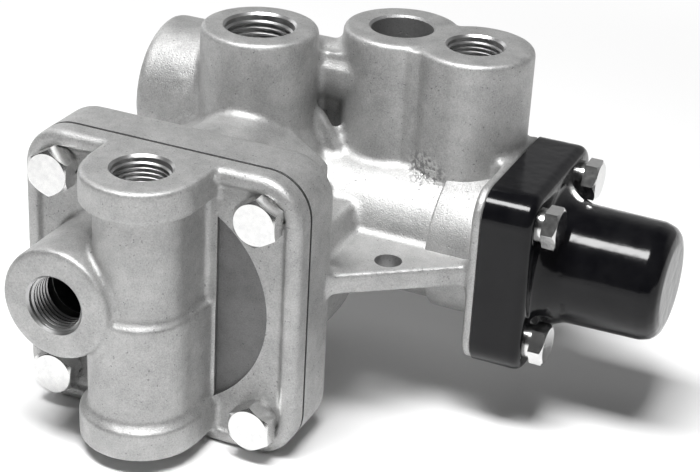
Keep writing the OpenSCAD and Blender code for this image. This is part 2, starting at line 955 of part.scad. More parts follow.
module cap_bolts() {
    color("gainsboro")
        to_origin()
            at_cap_bolts(cap_top_x + cap_washer_t)
                hex_bolt(cap_hex, cap_head_h, cap_shank_r, cap_bolt_l);
}

module cap_lock_washers() {
    color("gainsboro")
        to_origin()
            at_cap_bolts(cap_top_x)
                lock_washer(cap_shank_r, cap_washer_t);
}

// Control piston: a head under the spring, a stem and a bleed nose
module control_piston() {
    color("lightsteelblue")
        to_origin()
            difference() {
                union() {
                    at_control_axis(control_stop_x)
                        cylinder(r = control_collar_r, h = control_collar_t + over);
                    at_control_axis(control_head_x)
                        cylinder(r = control_bore_r - fit, h = control_head_t);
                    at_control_axis(control_stem_end_x)
                        cylinder(r = control_stem_bore_r - fit, h = control_head_x - control_stem_end_x);
                    at_control_axis(control_seat_x + rest_gap)
                        cylinder(r = control_nose_r, h = control_stem_end_x - control_seat_x);
                }
                at_control_axis(control_spring_x)
                    cylinder(r = control_cup_r, h = control_cup_depth + over);
                at_control_axis(control_seat_x)
                    cylinder(r = control_bleed_r, h = control_head_x + control_head_t - control_seat_x);
                at_control_axis(control_head_ring_x)
                    ring_groove(control_bore_r);
                at_control_axis(control_ring_x)
                    ring_groove(control_stem_bore_r);
            }
}

module control_piston_o_ring() {
    color("black")
        to_origin()
            at_control_axis(control_head_ring_x)
                o_ring(control_bore_r);
}

module control_stem_o_ring() {
    color("black")
        to_origin()
            at_control_axis(control_ring_x)
                o_ring(control_stem_bore_r);
}

module control_spring() {
    color("slategray")
        to_origin()
            at_control_axis(control_spring_x)
                coil(control_coil_r, control_wire_r,
                    dome_inner_x - spring_seat_t - control_spring_x, control_turns);
}

module spring_seat() {
    color("gainsboro")
        to_origin()
            at_control_axis(dome_inner_x - spring_seat_t) {
                cylinder(r = dome_inner_r - seat_gap, h = spring_seat_t);
                translate([0, 0, -spring_seat_t])
                    cylinder(r = control_coil_r - control_wire_r - over, h = spring_seat_t + over);
            }
}

// Small valve at the inner end of the control bore
module control_valve() {
    color("goldenrod")
        to_origin()
            at_control_axis(control_seat_x - control_disc_t) {
                cylinder(r = control_disc_r, h = control_disc_t);
                translate([0, 0, -control_disc_t])
                    cylinder(r = control_nose_r, h = control_disc_t + over);
            }
}

module control_valve_spring() {
    color("slategray")
        to_origin()
            at_control_axis(control_inner_x)
                coil(control_valve_spring_r, control_valve_wire_r,
                    control_seat_x - control_disc_t - control_inner_x, short_turns);
}

module control_valve_seat() {
    color("lightsteelblue")
        to_origin()
            at_control_axis(control_seat_x)
                tube(control_stem_bore_r - fit, control_seat_hole_r, control_seat_t);
}

module protection_piston() {
    color("lightsteelblue")
        to_origin()
            translate([cover_axis_x, cover_axis_y, protection_head_z - protection_piston_l])
                difference() {
                    union() {
                        cylinder(r = protection_bore_r - fit, h = protection_piston_l);
                        cylinder(r = protection_nose_r, h = protection_piston_l + protection_nose_h);
                    }
                    translate([0, 0, -over])
                        cylinder(r = protection_cup_r, h = protection_cup_depth + over);
                    translate([0, 0, protection_ring_z - protection_head_z + protection_piston_l])
                        ring_groove(protection_bore_r);
                }
}

module protection_piston_o_ring() {
    color("black")
        to_origin()
            translate([cover_axis_x, cover_axis_y, protection_ring_z])
                o_ring(protection_bore_r);
}

module protection_spring() {
    foot_z = protection_plug_z;
    head_z = protection_head_z - protection_piston_l + protection_cup_depth;
    color("slategray")
        to_origin()
            translate([cover_axis_x, cover_axis_y, foot_z])
                coil(protection_spring_r, protection_wire_r, head_z - foot_z, protection_turns);
}

module protection_plug() {
    color("lightsteelblue")
        to_origin()
            translate([cover_axis_x, cover_axis_y, protection_plug_z - protection_plug_l])
                difference() {
                    cylinder(r = protection_bore_r - fit, h = protection_plug_l);
                    translate([0, 0, protection_plug_l / 2])
                        ring_groove(protection_bore_r);
                }
}

module protection_plug_o_ring() {
    color("black")
        to_origin()
            translate([cover_axis_x, cover_axis_y, protection_plug_z - protection_plug_l / 2])
                o_ring(protection_bore_r);
}

module protection_retaining_ring() {
    color("slategray")
        to_origin()
            translate([cover_axis_x, cover_axis_y, protection_plug_z - protection_plug_l - snap_t])
                snap_ring(protection_bore_r);
}

// Check valve plunger with its rubber seal
module check_valve() {
    color("goldenrod")
        to_origin()
            at_check_axis(check_seat_x + check_nose_t + check_seal_t) {
                cylinder(r = check_disc_r, h = check_disc_t);
                cylinder(r = check_stem_r, h = check_disc_t + check_stem_l);
            }
}

module check_valve_seal() {
    color("black")
        to_origin()
            at_check_axis(check_seat_x + check_nose_t)
                cylinder(r = check_seal_r, h = check_seal_t);
}

module check_spring() {
    color("slategray")
        to_origin()
            at_check_axis(check_back_x)
                coil(check_spring_r, check_wire_r, check_end_x - check_back_x, check_turns);
}

// Plug with the left port, whose inner nose is the check valve's seat
module check_plug() {
    color("silver")
        to_origin()
            difference() {
                union() {
                    at_check_axis(check_plug_x)
                        cylinder(r = check_plug_r - fit, h = check_plug_l);
                    at_check_axis(check_plug_x)
                        cylinder(r = check_nose_r, h = check_plug_l + check_nose_t);
                }
                at_check_axis(check_plug_x)
                    rotate([180, 0, 0])
                        port(small_port_r, check_port_depth);
                at_check_axis(check_plug_x)
                    cylinder(r = protection_passage_r, h = check_plug_l + check_nose_t + over);
                at_check_axis(check_plug_x + check_plug_l - groove_w)
                    ring_groove(check_plug_r);
            }
}

module check_plug_o_ring() {
    color("black")
        to_origin()
            at_check_axis(check_plug_x + check_plug_l - groove_w)
                o_ring(check_plug_r);
}

valve_body();
front_cover();
cover_gasket();
cover_bolts();
cover_lock_washers();
relay_piston();
relay_piston_o_ring();
relay_spring();
relay_valve();
relay_valve_face();
relay_valve_spring();
valve_guide();
guide_o_ring();
exhaust_cover();
exhaust_flap();
flap_screw();
exhaust_retaining_ring();
spring_cap();
cap_gasket();
cap_bolts();
cap_lock_washers();
control_piston();
control_piston_o_ring();
control_stem_o_ring();
control_spring();
spring_seat();
control_valve();
control_valve_spring();
control_valve_seat();
protection_piston();
protection_piston_o_ring();
protection_spring();
protection_plug();
protection_plug_o_ring();
protection_retaining_ring();
check_valve();
check_valve_seal();
check_spring();
check_plug();
check_plug_o_ring();
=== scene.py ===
"""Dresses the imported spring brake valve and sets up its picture.

Lengths in the classes are millimetres, taken as on the part's drawing: right of the relay axis,
behind the body's flange face and above the relay axis. Bench.spot turns them into the frame's metres.
"""
import json
import logging
import math
from dataclasses import dataclass
from enum import Enum
from typing import Iterable, Protocol, Sequence

import bpy
from mathutils import Euler, Matrix, Vector

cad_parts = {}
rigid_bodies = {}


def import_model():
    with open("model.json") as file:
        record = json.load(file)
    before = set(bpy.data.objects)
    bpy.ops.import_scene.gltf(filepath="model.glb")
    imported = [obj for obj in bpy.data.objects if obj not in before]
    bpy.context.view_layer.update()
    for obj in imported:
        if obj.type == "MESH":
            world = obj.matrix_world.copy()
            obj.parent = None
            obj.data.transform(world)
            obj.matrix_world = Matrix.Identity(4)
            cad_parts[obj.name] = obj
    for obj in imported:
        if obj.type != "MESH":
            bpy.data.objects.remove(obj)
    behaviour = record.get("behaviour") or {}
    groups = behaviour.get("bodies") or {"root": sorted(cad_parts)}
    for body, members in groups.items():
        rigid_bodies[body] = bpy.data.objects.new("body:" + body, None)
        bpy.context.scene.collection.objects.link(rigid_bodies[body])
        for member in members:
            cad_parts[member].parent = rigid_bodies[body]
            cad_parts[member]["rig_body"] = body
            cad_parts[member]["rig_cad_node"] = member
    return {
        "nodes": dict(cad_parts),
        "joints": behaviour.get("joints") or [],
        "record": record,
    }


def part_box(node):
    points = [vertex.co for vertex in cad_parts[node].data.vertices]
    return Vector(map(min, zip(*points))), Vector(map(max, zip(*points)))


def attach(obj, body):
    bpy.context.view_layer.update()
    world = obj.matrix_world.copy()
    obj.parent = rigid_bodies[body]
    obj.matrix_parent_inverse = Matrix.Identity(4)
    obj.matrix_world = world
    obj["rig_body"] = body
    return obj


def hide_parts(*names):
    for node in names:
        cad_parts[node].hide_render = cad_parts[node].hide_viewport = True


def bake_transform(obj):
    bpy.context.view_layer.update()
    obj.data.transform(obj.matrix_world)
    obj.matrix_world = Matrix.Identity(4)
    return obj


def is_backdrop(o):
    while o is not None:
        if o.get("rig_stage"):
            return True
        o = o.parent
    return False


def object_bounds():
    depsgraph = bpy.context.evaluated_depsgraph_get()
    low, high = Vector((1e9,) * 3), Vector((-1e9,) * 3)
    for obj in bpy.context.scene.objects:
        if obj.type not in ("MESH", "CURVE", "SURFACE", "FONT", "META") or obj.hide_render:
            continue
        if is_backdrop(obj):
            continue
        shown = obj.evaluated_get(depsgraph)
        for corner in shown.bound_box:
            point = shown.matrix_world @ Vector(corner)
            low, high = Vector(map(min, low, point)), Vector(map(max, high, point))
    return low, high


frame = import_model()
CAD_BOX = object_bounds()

LOG = logging.getLogger("valve")
MM = 0.001
BODY_LENGTH = 90.0
ROOT = "housing"
# Cosine and sine at five points of a quarter circle, for the rods' rounded edges.
QUARTER = [(math.cos(math.radians(a)), math.sin(math.radians(a))) for a in (90, 67.5, 45, 22.5, 0)]
CAST_MARK = (-25.0, 48.4, 43.2)
ROUGH_SPOT = (57.0, 61.8, 25.8)

# Sizes that several castings share: the square flange and cover, the ports, the control housing's
# axis with the cap's face, the left housing's axis, and where the bolts stand.
SQUARE = 89.0
SQUARE_CORNER = 13.0
PISTON_BORE = 31.0
PORT_R = 8.5
PORT_DEEP = 13
PORT_CHAMFER = 0.7
CAP_FACE = 81.8
CONTROL_BACK = 64.0
CONTROL_UP = 5.0
LEFT_BACK = 67
LEFT_UP = 33
CONTROL_PORT = (62.8, 73.5)
CORNERS = tuple((i, j) for i in (-1, 1) for j in (-1, 1))
COVER_BOLTS = tuple((33.0 * i, 33.0 * j) for i, j in CORNERS)
CAP_BOLTS = tuple((CONTROL_BACK + 19.2 * i, CONTROL_UP + 19.2 * j) for i, j in CORNERS)

Colour = tuple[float, float, float]
Outline = Sequence[tuple[float, float]]
Piece = bpy.types.Object


class Axis(Enum):
    """Directions along which round pieces are turned, as a rotation of the upright."""

    RIGHT = (0.0, math.pi / 2, 0.0)
    BACK = (-math.pi / 2, 0.0, 0.0)
    UP = (0.0, 0.0, 0.0)

    @property
    def way(self) -> Vector:
        """Unit vector along the axis."""
        return {"RIGHT": Vector((1, 0, 0)), "BACK": Vector((0, 1, 0)), "UP": Vector((0, 0, 1))}[self.name]


class Join(Enum):
    """Ways in which one solid works on another."""

    CUT = "DIFFERENCE"
    ADD = "UNION"
    KEEP = "INTERSECT"


class Bench:
    """The tools that shape the pieces."""

    @staticmethod
    def spot(right: float, back: float, up: float) -> Vector:
        """A drawing's place in the frame, in metres."""
        return Vector((right, back - BODY_LENGTH, up)) * MM

    @staticmethod
    def clear() -> None:
        """Leaves nothing selected."""
        if bpy.context.mode != "OBJECT":
            bpy.ops.object.mode_set(mode="OBJECT")
        bpy.ops.object.select_all(action="DESELECT")

    @staticmethod
    def pick(piece: Piece) -> Piece:
        """Selects one piece alone and makes it active."""
        Bench.clear()
        piece.select_set(True)
        bpy.context.view_layer.objects.active = piece
        return piece

    @staticmethod
    def settle(piece: Piece, name: str) -> Piece:
        """Names a piece and puts its place into its mesh."""
        Bench.pick(piece)
        bpy.ops.object.transform_apply(location=True, rotation=True, scale=True)
        piece.name = name
        piece.data.name = name
        return piece

    @staticmethod
    def turned(name: str, steps: Outline, start: Vector, axis: Axis, facets: int = 96) -> Piece:
        """Turns a round solid from its first disc outwards.

        Args:
            name: The piece's name.
            steps: Distance along the axis and radius of each ring, in millimetres.
            start: Place in the frame that the distances are counted from.
            axis: Direction of the turned axis.
            facets: Number of sides.

        Returns:
            The closed piece.
        """
        Bench.clear()
        along, radius = steps[0]
        centre = start + axis.way * along * MM
        bpy.ops.mesh.primitive_circle_add(
            vertices=facets, radius=radius * MM, fill_type="NGON", location=centre, rotation=axis.value
        )
        piece = bpy.context.object
        bpy.ops.object.transform_apply(location=True, rotation=True, scale=True)
        bpy.ops.object.mode_set(mode="EDIT")
        bpy.ops.mesh.select_all(action="SELECT")
        for distance, wide in steps[1:]:
            step = axis.way * (distance - along) * MM
            bpy.ops.mesh.extrude_region_move(TRANSFORM_OT_translate={"value": step})
            centre = centre + step
            if abs(wide - radius) > 1e-6:
                bpy.ops.transform.resize(value=(wide / radius,) * 3, center_override=centre)
            along, radius = distance, wide
        bpy.ops.mesh.select_all(action="SELECT")
        bpy.ops.mesh.normals_make_consistent(inside=False)
        bpy.ops.object.mode_set(mode="OBJECT")
        return Bench.settle(piece, name)

    @staticmethod
    def rod(radius: float, length: float, start: Vector, axis: Axis, facets: int = 96,
            soft: tuple[float, float] = (0.0, 0.0)) -> Piece:
        """A round bar, as a start or a cutter, whose first and last edge may be rounded."""
        first, last = soft
        steps = [(first * (1 - c), radius - first * (1 - k)) for k, c in QUARTER] if first else [(0, radius)]
        if last:
            steps += [(length - last * (1 - c), radius - last * (1 - k)) for k, c in reversed(QUARTER)]
        else:
            steps.append((length, radius))
        return Bench.turned("rod", steps, start, axis, facets)

    @staticmethod
    def block(low: Vector, high: Vector) -> Piece:
        """A rectangular block between two corners of the frame."""
        Bench.clear()
        bpy.ops.mesh.primitive_cube_add(size=1, location=(low + high) / 2)
        piece = bpy.context.object
        piece.scale = high - low
        return Bench.settle(piece, "block")

    @staticmethod
    def rounded_block(side: float, corner: float, depth: float, centre: Vector, axis: Axis,
                      soft: float = 0.0) -> Piece:
        """A square block with round corners, lying along an axis from its centre's face.

        Args:
            side: Side of the square in millimetres.
            corner: Radius of its corners.
            depth: Length along the axis.
            centre: Centre of the first face.
            axis: Direction in which the block goes on.
            soft: Radius that rounds the edges of both faces.

        Returns:
            The block.
        """
        half = Vector((side / 2, side / 2, side / 2)) * MM
        flat = Vector([0.0 if w else h for w, h in zip(axis.way, half)])
        piece = Bench.block(centre - flat, centre + flat + axis.way * depth * MM)
        bpy.context.tool_settings.mesh_select_mode = (False, True, False)
        bpy.ops.object.mode_set(mode="EDIT")
        bpy.ops.mesh.select_all(action="DESELECT")
        bpy.ops.object.mode_set(mode="OBJECT")
        places = piece.data.vertices
        for edge in piece.data.edges:
            run = (places[edge.vertices[0]].co - places[edge.vertices[1]].co).normalized()
            edge.select = abs(run.dot(axis.way)) > 0.9
        bpy.ops.object.mode_set(mode="EDIT")
        bpy.ops.mesh.bevel(offset=corner * MM, segments=12, profile=0.5)
        bpy.ops.object.mode_set(mode="OBJECT")
        if soft:
            Bench.apply(piece, "BEVEL", width=soft * MM, segments=5, limit_method="ANGLE",
                        angle_limit=math.radians(40))
        return piece

    @staticmethod
    def prism(outline: Outline, start: float, depth: float, axis: Axis = Axis.UP) -> Piece:
        """A prism over an outline, in millimetres.

        Args:
            outline: Corners as (right, back) points, or as (right, up) points where the axis is BACK.
            start: Place of the first face along the axis.
            depth: Length along the axis.
            axis: UP or BACK.

        Returns:
            The prism.
        """
        Bench.clear()
        bpy.ops.mesh.primitive_circle_add(vertices=len(outline), radius=MM, fill_type="NGON")
        piece = bpy.context.object
        for vertex, (right, other) in zip(piece.data.vertices, outline):
            back, up = (other, start) if axis is Axis.UP else (start, other)
            vertex.co = Bench.spot(right, back, up)
        bpy.ops.object.mode_set(mode="EDIT")
        bpy.ops.mesh.select_all(action="SELECT")
        bpy.ops.mesh.extrude_region_move(TRANSFORM_OT_translate={"value": axis.way * depth * MM})
        bpy.ops.mesh.select_all(action="SELECT")
        bpy.ops.mesh.normals_make_consistent(inside=False)
        bpy.ops.object.mode_set(mode="OBJECT")
        return Bench.settle(piece, "prism")

    @staticmethod
    def joined(pieces: Iterable[Piece], name: str) -> Piece:
        """Makes several pieces one object."""
        pieces = list(pieces)
        Bench.clear()
        for piece in pieces:
            piece.select_set(True)
        bpy.context.view_layer.objects.active = pieces[0]
        bpy.ops.object.join()
        return Bench.settle(pieces[0], name)

    @staticmethod
    def apply(piece: Piece, kind: str, **settings: object) -> Piece:
        """Adds a modifier with its settings and applies it."""
        Bench.pick(piece)
        modifier = piece.modifiers.new(kind.lower(), kind)
        for key, value in settings.items():
            setattr(modifier, key, value)
        bpy.ops.object.modifier_apply(modifier=modifier.name)
        return piece

    @staticmethod
    def work(piece: Piece, tools: Iterable[Piece], way: Join, slot: int = 0) -> Piece:
        """Cuts, adds or keeps with each tool in turn.

        Args:
            piece: The solid that is worked on.
            tools: Solids that are used up.
            way: What each tool does.
            slot: Material slot of the faces that a tool leaves.

        Returns:
            The worked solid.
        """
        for tool in tools:
            tool.data.materials.clear()
            for material in piece.data.materials:
                tool.data.materials.append(material)
            for face in tool.data.polygons:
                face.material_index = slot
            Bench.apply(piece, "BOOLEAN", operation=way.value, solver="MANIFOLD", object=tool,
                        material_mode="INDEX")
            bpy.data.objects.remove(tool)
        return piece

    @staticmethod
    def cast(pieces: Iterable[Piece], name: str, voxel: float, fillet: float, passes: int,
             keep: float = 1.0) -> Piece:
        """Melts overlapping solids into one casting with filleted corners.

        Args:
            pieces: The solids, which may overlap.
            name: Name of the casting.
            voxel: Size of the mesh's cells in millimetres.
            fillet: Radius that fills the inner corners.
            passes: Number of smoothing passes.
            keep: Share of the faces that thinning leaves, most of them where the form curves.

        Returns:
            The casting.
        """
        piece = Bench.joined(pieces, name)
        Bench.apply(piece, "REMESH", mode="VOXEL", voxel_size=voxel * MM)
        if fillet:
            Bench.apply(piece, "DISPLACE", strength=fillet * MM, mid_level=0.0)
            Bench.apply(piece, "REMESH", mode="VOXEL", voxel_size=voxel * MM)
            Bench.apply(piece, "SMOOTH", factor=0.5, iterations=passes // 2)
            Bench.apply(piece, "DISPLACE", strength=-fillet * MM, mid_level=0.0)
            Bench.apply(piece, "REMESH", mode="VOXEL", voxel_size=voxel * MM)
        Bench.apply(piece, "SMOOTH", factor=0.5, iterations=passes)
        if keep < 1:
            Bench.apply(piece, "DECIMATE", decimate_type="COLLAPSE", ratio=keep)
        return piece

    @staticmethod
    def shade(piece: Piece, degrees: float = 32.0) -> Piece:
        """Shades a piece smoothly up to an angle."""
        Bench.pick(piece)
        bpy.ops.object.shade_smooth_by_angle(angle=math.radians(degrees))
        return piece

    @staticmethod
    def mouth(radius: float, depth: float, start: Vector, axis: Axis, chamfer: float, sign: int = 1) -> Piece:
        """A cutter for a port, from its chamfered mouth inwards.

        Args:
            radius: Wall radius.
            depth: Depth of the hole.
            start: Centre of the mouth.
            axis: Axis of the hole.
            chamfer: Width of the mouth's chamfer.
            sign: One where the axis points out of the hole, minus one where it points in.

        Returns:
            The cutter.
        """
        steps = [(sign, radius + chamfer + 1), (-sign * chamfer, radius), (-sign * depth, radius),
                 (-sign * (depth + radius * 0.35), radius * 0.3)]
        return Bench.turned("mouth", steps, start, axis)


class Sum:
    """A number in a material's node tree, on which arithmetic adds Math nodes."""

    def __init__(self, tree: bpy.types.NodeTree, socket: bpy.types.NodeSocket) -> None:
        """Wraps an output socket."""
        self.tree = tree
        self.socket = socket

    def math(self, operation: str, other: "Sum | float", swap: bool = False) -> "Sum":
        """Adds one Math node that works on this number and another, or on both the other way round."""
        node = self.tree.nodes.new("ShaderNodeMath")
        node.operation = operation
        for entry, value in zip(node.inputs, (other, self) if swap else (self, other)):
            if isinstance(value, Sum):
                self.tree.links.new(value.socket, entry)
            else:
                entry.default_value = value
        return Sum(self.tree, node.outputs[0])

    def __add__(self, other: "Sum | float") -> "Sum":
        """Sum of two numbers."""
        return self.math("ADD", other)

    __radd__ = __add__

    def __mul__(self, other: "Sum | float") -> "Sum":
        """Product of two numbers."""
        return self.math("MULTIPLY", other)

    __rmul__ = __mul__

    def __sub__(self, other: "Sum | float") -> "Sum":
        """This number less another."""
        return self.math("SUBTRACT", other)

    def __rsub__(self, other: float) -> "Sum":
        """Another number less this one."""
        return self.math("SUBTRACT", other, swap=True)


class Surface:
    """A material under construction."""

    def __init__(self, name: str, metallic: float, roughness: float, **fixed: object) -> None:
        """Starts a material whose constant values stand on the shader's own sockets."""
        self.material = bpy.data.materials.new(name)
        self.material.use_nodes = True
        self.tree = self.material.node_tree
        self.shader = self.tree.nodes["Principled BSDF"]
        self.shader.inputs["Metallic"].default_value = metallic
        self.shader.inputs["Roughness"].default_value = roughness
        for key, value in fixed.items():
            self.shader.inputs[key.replace("_", " ")].default_value = value
        self.place = self.node("ShaderNodeTexCoord").outputs["Object"]

    def node(self, kind: str, settings: dict[str, object] | None = None, **inputs: object) -> bpy.types.Node:
        """Adds a node, with its settings first and then its sockets' values or links."""
        node = self.tree.nodes.new(kind)
        for key, value in (settings or {}).items():
            setattr(node, key, value)
        for key, value in inputs.items():
            entry = node.inputs[key.replace("_", " ")]
            if isinstance(value, Sum):
                value = value.socket
            if isinstance(value, bpy.types.NodeSocket):
                self.tree.links.new(value, entry)
            else:
                entry.default_value = value
        return node

    def noise(self, grain_mm: float, detail: float = 2.0, stretch: Sequence[float] = (1, 1, 1)) -> Sum:
        """Noise whose grains measure about so many millimetres."""
        vector = self.place
        if tuple(stretch) != (1, 1, 1):
            vector = self.node("ShaderNodeMapping", Vector=vector, Scale=stretch).outputs[0]
        node = self.node("ShaderNodeTexNoise", Vector=vector, Scale=1 / (grain_mm * MM), Detail=detail,
                         Roughness=0.55)
        return Sum(self.tree, node.outputs["Fac"])

    def distance(self, place: Vector) -> Sum:
        """Distance from a place on the piece, in metres."""
        node = self.node("ShaderNodeVectorMath", {"operation": "DISTANCE"})
        self.tree.links.new(self.place, node.inputs[0])
        node.inputs[1].default_value = place
        return Sum(self.tree, node.outputs["Value"])

    def band(self, value: Sum, low: float, high: float, bottom: float = 0.0, top: float = 1.0) -> Sum:
        """Maps a value's stretch from low to high onto bottom to top, held at both ends."""
        node = self.node("ShaderNodeMapRange", Value=value)
        for key, number in zip(("From Min", "From Max", "To Min", "To Max"), (low, high, bottom, top)):
            node.inputs[key].default_value = number
        return Sum(self.tree, node.outputs[0])

    def blend(self, share: Sum, first: Colour | bpy.types.NodeSocket,
              second: Colour) -> bpy.types.NodeSocket:
        """Mixes two colours, of which the first may come from another node."""
        node = self.tree.nodes.new("ShaderNodeMix")
        node.data_type = "RGBA"
        self.tree.links.new(share.socket, node.inputs["Factor"])
        if isinstance(first, bpy.types.NodeSocket):
            self.tree.links.new(first, node.inputs[6])
        else:
            node.inputs[6].default_value = (*first, 1.0)
        node.inputs[7].default_value = (*second, 1.0)
        return node.outputs[2]

    def colour(self, source: bpy.types.NodeSocket) -> None:
        """Feeds the base colour."""
        self.tree.links.new(source, self.shader.inputs["Base Color"])

    def rough(self, value: Sum) -> None:
        """Feeds the roughness."""
        self.tree.links.new(value.socket, self.shader.inputs["Roughness"])

    def bump(self, height: Sum, depth_mm: float) -> None:
        """Feeds a bump of that depth into the normal."""
        node = self.node("ShaderNodeBump", Height=height, Strength=1.0, Distance=depth_mm * MM)
        self.tree.links.new(node.outputs["Normal"], self.shader.inputs["Normal"])


@dataclass(frozen=True)
class CastFinish:
    """Blasted die-cast aluminium: fine grain, mottles, faint clouds and small dark pits.

    A rough spot adds coarse grain round one place, full up to one distance and gone at another.
    """

    name: str = "cast_aluminium"
    light: Colour = (0.58, 0.58, 0.575)
    dark: Colour = (0.33, 0.33, 0.33)
    pit: Colour = (0.15, 0.15, 0.15)
    rough_spot: tuple[float, float, float] | None = None
    rough_m: tuple[float, float] = (0.005, 0.009)
    rough_mm: float = 1.5
    grain_mm: float = 0.45
    pit_mm: float = 0.8
    mottle_mm: float = 2.6
    cloud_mm: float = 9.0
    depth_mm: float = 0.12

    def build(self) -> bpy.types.Material:
        """Builds the material."""
        skin = Surface(self.name, metallic=0.85, roughness=0.46)
        grain = skin.noise(self.grain_mm, 3.0)
        cloud = skin.noise(self.cloud_mm, 3.0)
        fleck = skin.band(skin.noise(self.pit_mm, 1.0), 0.25, 0.3, 1.0, 0.0)
        if self.rough_spot:
            away = skin.distance(Bench.spot(*self.rough_spot))
            near = skin.band(away, *self.rough_m, 1.0, 0.0)
            grain = grain + near * (skin.noise(self.rough_mm, 2.0) * 10.0 - 5.0)
        share = grain * 0.8 + cloud * 0.5 + skin.noise(self.mottle_mm, 3.0) * 0.3 - 0.3
        ground = skin.blend(skin.band(share, 0.25, 0.75), self.dark, self.light)
        skin.colour(skin.blend(fleck * 0.6, ground, self.pit))
        skin.rough(0.42 + grain * 0.2 + cloud * 0.06)
        skin.bump(grain + cloud * 0.4 - fleck * 0.5, self.depth_mm)
        return skin.material


@dataclass(frozen=True)
class MetalFinish:
    """Machined or plated metal with fine marks."""

    name: str
    light: Colour
    dark: Colour
    roughness: float
    mark_mm: float = 0.25
    depth_mm: float = 0.01
    stretch: tuple[float, float, float] = (1.0, 1.0, 6.0)

    def build(self) -> bpy.types.Material:
        """Builds the material."""
        skin = Surface(self.name, metallic=1.0, roughness=self.roughness)
        marks = skin.noise(self.mark_mm, 2.0, self.stretch)
        cloud = skin.noise(4.0, 2.0)
        skin.colour(skin.blend(skin.band(marks * 0.6 + cloud * 0.4, 0.35, 0.65), self.dark, self.light))
        skin.rough(marks * 0.12 + cloud * 0.1 + (self.roughness - 0.1))
        skin.bump(marks, self.depth_mm)
        return skin.material


@dataclass(frozen=True)
class SheenFinish:
    """Paint, rubber and sheet: a dull or glossy skin that is no metal."""

    name: str
    light: Colour
    dark: Colour
    roughness: float
    coat: float = 0.0
    grain_mm: float = 1.0
    depth_mm: float = 0.01

    def build(self) -> bpy.types.Material:
        """Builds the material."""
        skin = Surface(self.name, metallic=0.0, roughness=self.roughness, Coat_Weight=self.coat,
                       Coat_Roughness=0.12, Specular_IOR_Level=0.1)
        grain = skin.noise(self.grain_mm, 2.0)
        skin.colour(skin.blend(skin.band(grain, 0.35, 0.65), self.dark, self.light))
        skin.rough(grain * 0.08 + (self.roughness - 0.04))
        skin.bump(grain, self.depth_mm)
        return skin.material


class Maker(Protocol):
    """Whatever builds one of the pieces."""

    def build(self, finishes: "Finishes") -> Piece:
        """Builds, dresses and places the piece."""


class Finishes:
    """One material for each of the record's slots, and five for the castings' own faces, two of which are
    darker casts that paint shade into bores.
    """

    def __init__(self) -> None:
        """Builds them all."""
        makers = {
            "cast_aluminium": CastFinish(),
            "turned_aluminium": MetalFinish("turned_aluminium", (0.78, 0.78, 0.78), (0.62, 0.62, 0.62), 0.3),
            "zinc_steel": MetalFinish("zinc_steel", (0.78, 0.78, 0.77), (0.66, 0.66, 0.66), 0.2,
                                      mark_mm=1.5, depth_mm=0.0005, stretch=(1.0, 1.0, 1.0)),
            "spring_steel": MetalFinish("spring_steel", (0.45, 0.45, 0.46), (0.3, 0.3, 0.31), 0.35),
            "brass": MetalFinish("brass", (0.78, 0.6, 0.3), (0.6, 0.44, 0.2), 0.3),
            "black_rubber": SheenFinish("black_rubber", (0.035, 0.035, 0.035), (0.02, 0.02, 0.02), 0.6),
            "gasket": SheenFinish("gasket", (0.05, 0.05, 0.05), (0.03, 0.03, 0.03), 0.8),
            "gloss_black": SheenFinish("gloss_black", (0.006, 0.006, 0.007), (0.003, 0.003, 0.004), 0.16,
                                       coat=0.34, grain_mm=6.0, depth_mm=0.26),
            "body_cast": CastFinish("body_cast", rough_spot=ROUGH_SPOT),
            "panel": CastFinish("panel_cast", (0.26, 0.26, 0.26), (0.15, 0.15, 0.15), (0.1, 0.1, 0.1)),
            # Darker cast for the lobe's plain bore and the web's mounting hole: painted shade inside the
            # holes.
            "painted_shade_plain_bore": CastFinish("painted_shade_plain_bore", (0.36, 0.36, 0.36), (0.26, 0.26, 0.26)),
            # Near-black cast for the cover's deep wells: painted shade inside the holes, not a darker metal.
            "painted_shade_bore": CastFinish("painted_shade_bore", (0.1, 0.1, 0.1), (0.05, 0.05, 0.05), (0.03, 0.03, 0.03)),
            "machined": MetalFinish("machined", (0.5, 0.5, 0.5), (0.36, 0.36, 0.36), 0.36),
        }
        self.by_slot = {slot: maker.build() for slot, maker in makers.items()}

    def dress(self, piece: Piece, *slots: str) -> Piece:
        """Gives a piece its material, and more where it has machined or sunk faces."""
        piece.data.materials.clear()
        for slot in slots:
            piece.data.materials.append(self.by_slot[slot])
        return piece


